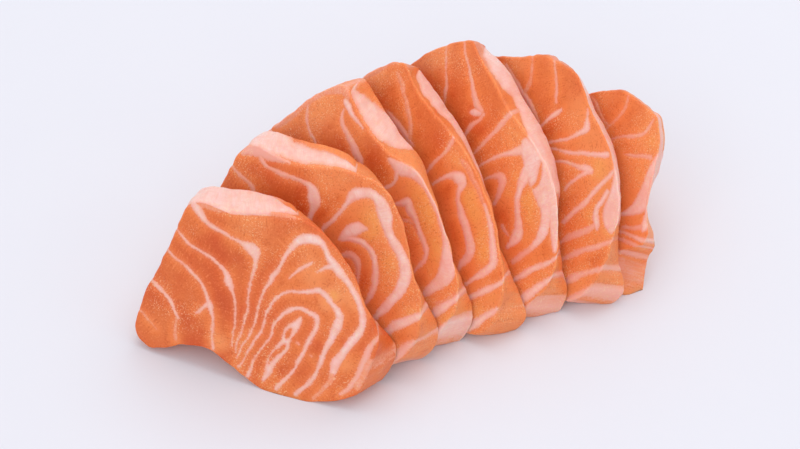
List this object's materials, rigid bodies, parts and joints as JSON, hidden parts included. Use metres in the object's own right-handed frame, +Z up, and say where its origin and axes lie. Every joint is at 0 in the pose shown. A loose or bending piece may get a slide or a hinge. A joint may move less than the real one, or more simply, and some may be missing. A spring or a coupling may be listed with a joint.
{
  "type": "salmon sashimi",
  "caption": "Thick slices of raw salmon sashimi, cut from one block and fanned out leaning on each other.",
  "frame": {"origin": "on the surface it rests on, under the middle of the whole row of slices", "axes": "+X from the first slice towards the last, along the row's longest side; +Y away from the side that the cut faces look to; +Z up"},
  "size_m": [0.1237, 0.1013, 0.0447],
  "materials": {
    "salmon_flesh": "moist translucent raw fish with pale fat lines"
  },
  "bodies": {
    "root": {"slice_1": "salmon_flesh", "slice_2": "salmon_flesh", "slice_3": "salmon_flesh", "slice_4": "salmon_flesh", "slice_5": "salmon_flesh", "slice_6": "salmon_flesh", "slice_7": "salmon_flesh"}
  },
  "joints": []
}
